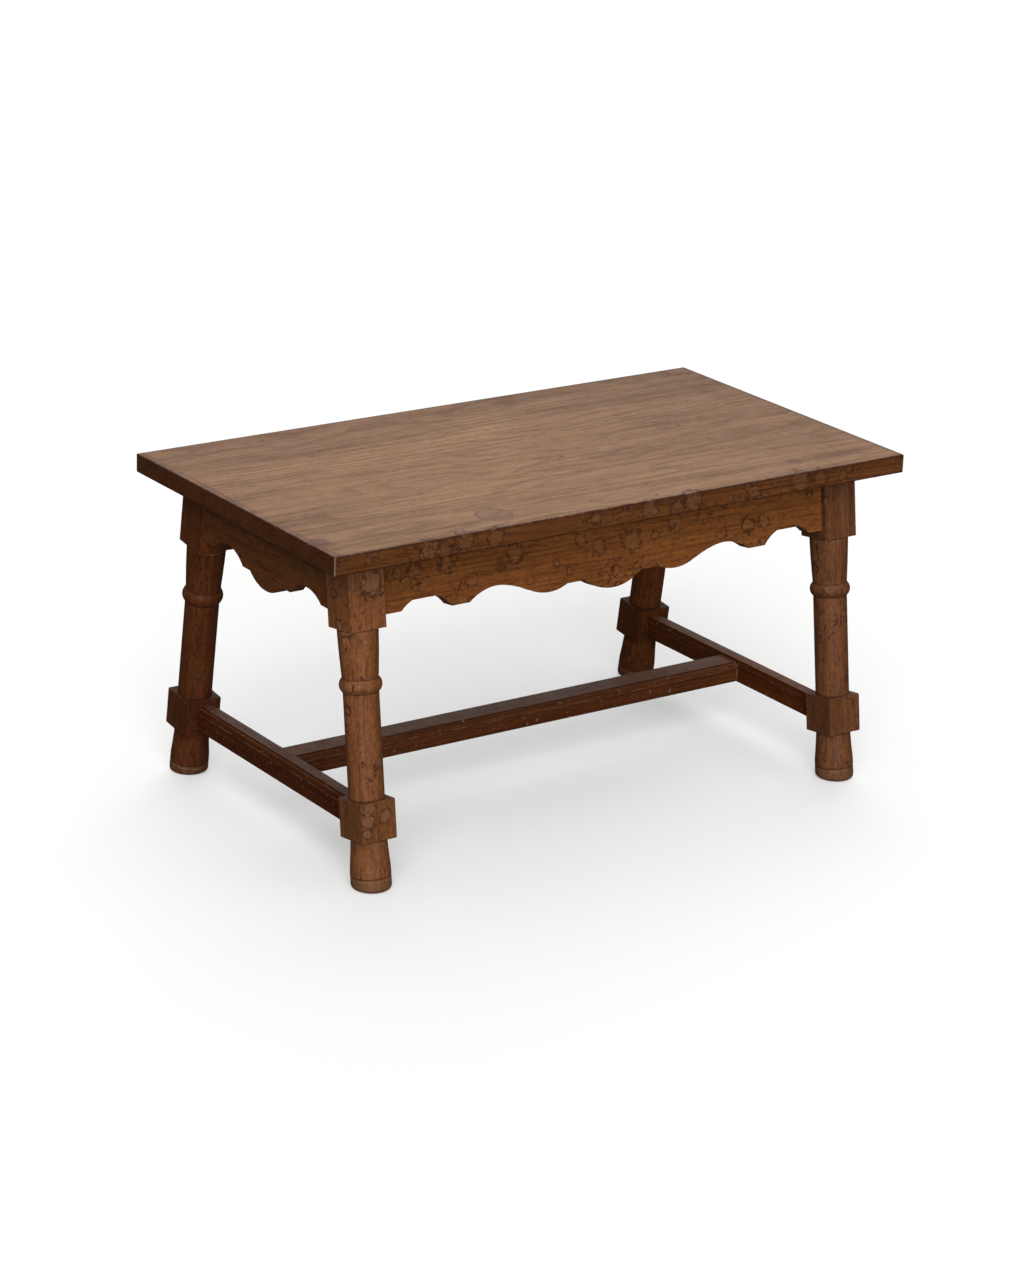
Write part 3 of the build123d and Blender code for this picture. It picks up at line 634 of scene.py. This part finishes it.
def dress_legs():
    common = (crevice_dirt_and_shade_rings(LEG_CREVICES, 1.4), dirty_arrises(LEG_BLOCK_HALF, 3.0),
              worn_foot(FOOT_GROOVE), rubbed_lips_and_highlights(LEG_LIPS, 1.6))
    for seed, (name, leg) in enumerate(LEGS.items()):
        side_x = -1 if name.endswith("left") else 1
        side_y = -1 if "front" in name else 1
        axes = leg_axes(side_y)
        foot = Vector((side_x * LEG_X, side_y * LEG_Y_FLOOR, 0.0)) * MILLIMETRES
        centre = (foot.dot(axes[1]), foot.dot(axes[2]))
        pith = (centre[0] + 40.0, centre[1] + 55.0)
        look = dict(LEG_LOOK, tone=leg["tone"], shine=leg["shine"], centre=centre, pith=pith)
        marks = (height_tones(leg["steps"]), *common, *LEG_MARKS.get(name, ()))
        dress(name, oak(name + "_oak", axes, tinted(look, leg["factor"]), 50 + seed, marks))


def dress_stretchers():
    kinds = (
        ("stretcher_left", ALONG_Y, 0.85, (0.064, 0.0152, 0.0034), END_SHOULDER),
        ("stretcher_right", ALONG_Y, 1.26, (0.064, 0.0158, 0.0034), END_SHOULDER),
        ("stretcher_center", ALONG_X, 1.1, (0.068, 0.0195, 0.0058), LONG_SHOULDER),
    )
    for seed, (name, axes, factor, tone, shoulder) in enumerate(kinds):
        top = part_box(name)[1].z * MILLIMETRES
        look = tinted(dict(STRETCHER_LOOK, tone=tone), factor, pith=(70.0, 20.0))
        outer = max(abs(corner.dot(axes[1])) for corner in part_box(name))
        quirk = outer * MILLIMETRES - MOULD_WIDTH
        marks = (moulding_dust_highlight_and_shade(top, quirk, 0.9), joint_dust(shoulder, 2.6), nicks(0.07))
        dress(name, oak(name + "_oak", axes, look, 60 + seed, marks))


def dress_hidden_pieces():
    buttons = [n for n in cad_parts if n.startswith("top_button")]
    button_look = tinted(APRON_LOOK, 1.1, pith=(30.0, 430.0), splashed=0.0)
    for seed, name in enumerate(sorted(buttons)):
        dress(name, oak(name + "_oak", ALONG_Y, button_look, 70 + seed))
    paint = Paint("screw_steel")
    place = paint.node("TexCoord", {}).outputs["Object"]
    rust = paint.noise(place, (600.0, 600.0, 600.0), 4.0)
    colour = paint.mix(paint.ramp(rust, 0.45, 0.65), (0.28, 0.26, 0.24), (0.12, 0.05, 0.025))
    rough = paint.ramp(rust, 0.4, 0.7, 0.35, 0.8)
    shader = paint.node("BsdfPrincipled", {"Base Color": colour, "Roughness": rough, "Metallic": 0.9})
    paint.node("OutputMaterial", {"Surface": shader.outputs[0]})
    dress("button_screws", paint.material)


# ---------------------------------------------------------------- studio
WORLD_STRENGTH = 0.09

# Each light: its name, the way to it from the table, its strength, its spread in degrees, and whether it
# leaves a sheen on the wood
LIGHTS = (
    ("key_light", (-0.48, -0.68, 0.55), 2.2, 45.0, True),
    ("front_light", (-0.3, -0.95, 0.1), 1.6, 40.0, True),
    ("top_light", (0.0, 0.0, 1.0), 1.5, 90.0, True),
    ("back_light", (0.35, 0.53, 0.5), 0.8, 60.0, True),
    ("back_fill", (0.6, 0.72, 0.12), 1.3, 60.0, False),
)
FLOOR_HALF = 20.0


def build_floor():
    mesh = bpy.data.meshes.new("floor")
    near, far = -FLOOR_HALF, FLOOR_HALF
    corners = [(near, near, 0), (far, near, 0), (far, far, 0), (near, far, 0)]
    mesh.from_pydata(corners, [], [(0, 1, 2, 3)])
    floor = bpy.data.objects.new("floor", mesh)
    bpy.context.scene.collection.objects.link(floor)
    paint = Paint("floor_paper")
    shader = paint.node("BsdfPrincipled", {
        "Base Color": (0.6, 0.6, 0.597, 1.0), "Roughness": 0.9, "Specular IOR Level": 0.1,
        "Emission Color": (1.0, 1.0, 0.995, 1.0), "Emission Strength": 0.3,
    })
    paint.node("OutputMaterial", {"Surface": shader.outputs[0]})
    mesh.materials.append(paint.material)
    floor.visible_diffuse = False
    floor.visible_glossy = False


def build_sun(name, towards, strength, spread, glossy):
    """A soft light from a wide patch of sky, spread degrees across.

    towards points from the table to the light. A light that isn't glossy leaves no sheen on the wood.
    """
    data = bpy.data.lights.new(name, "SUN")
    data.energy = strength
    data.angle = math.radians(spread)
    light = bpy.data.objects.new(name, data)
    light.rotation_mode = "QUATERNION"
    light.rotation_quaternion = (-Vector(towards)).to_track_quat("-Z", "Y")
    light.visible_glossy = glossy
    bpy.context.scene.collection.objects.link(light)


def build_world():
    world = bpy.data.worlds.new("studio")
    world.use_nodes = True
    background = world.node_tree.nodes["Background"]
    background.inputs[0].default_value = (1.0, 1.0, 1.0, 1.0)
    background.inputs[1].default_value = WORLD_STRENGTH
    bpy.context.scene.world = world


def build_camera():
    azimuth, elevation, roll = (math.radians(a) for a in (CAMERA_AZIMUTH, CAMERA_ELEVATION, CAMERA_ROLL))
    back = Vector((math.sin(azimuth) * math.cos(elevation),
                   -math.cos(azimuth) * math.cos(elevation), math.sin(elevation)))
    level = (-back).cross(Vector((0, 0, 1))).normalized()
    upright = level.cross(-back)
    right = math.cos(roll) * level + math.sin(roll) * upright
    up = math.cos(roll) * upright - math.sin(roll) * level
    data = bpy.data.cameras.new("camera")
    data.lens = CAMERA_LENS
    data.sensor_width = SENSOR_LONG_SIDE
    camera = bpy.data.objects.new("camera", data)
    turn = Matrix((right, up, back)).transposed().to_4x4()
    camera.matrix_world = Matrix.Translation(CAMERA_TARGET + back * CAMERA_DISTANCE) @ turn
    bpy.context.scene.collection.objects.link(camera)
    bpy.context.scene.camera = camera


dress_boards()
dress_aprons()
dress_legs()
dress_stretchers()
dress_hidden_pieces()
build_floor()
for light in LIGHTS:
    build_sun(*light)
build_world()
build_camera()
bpy.context.scene.view_settings.view_transform = "Standard"
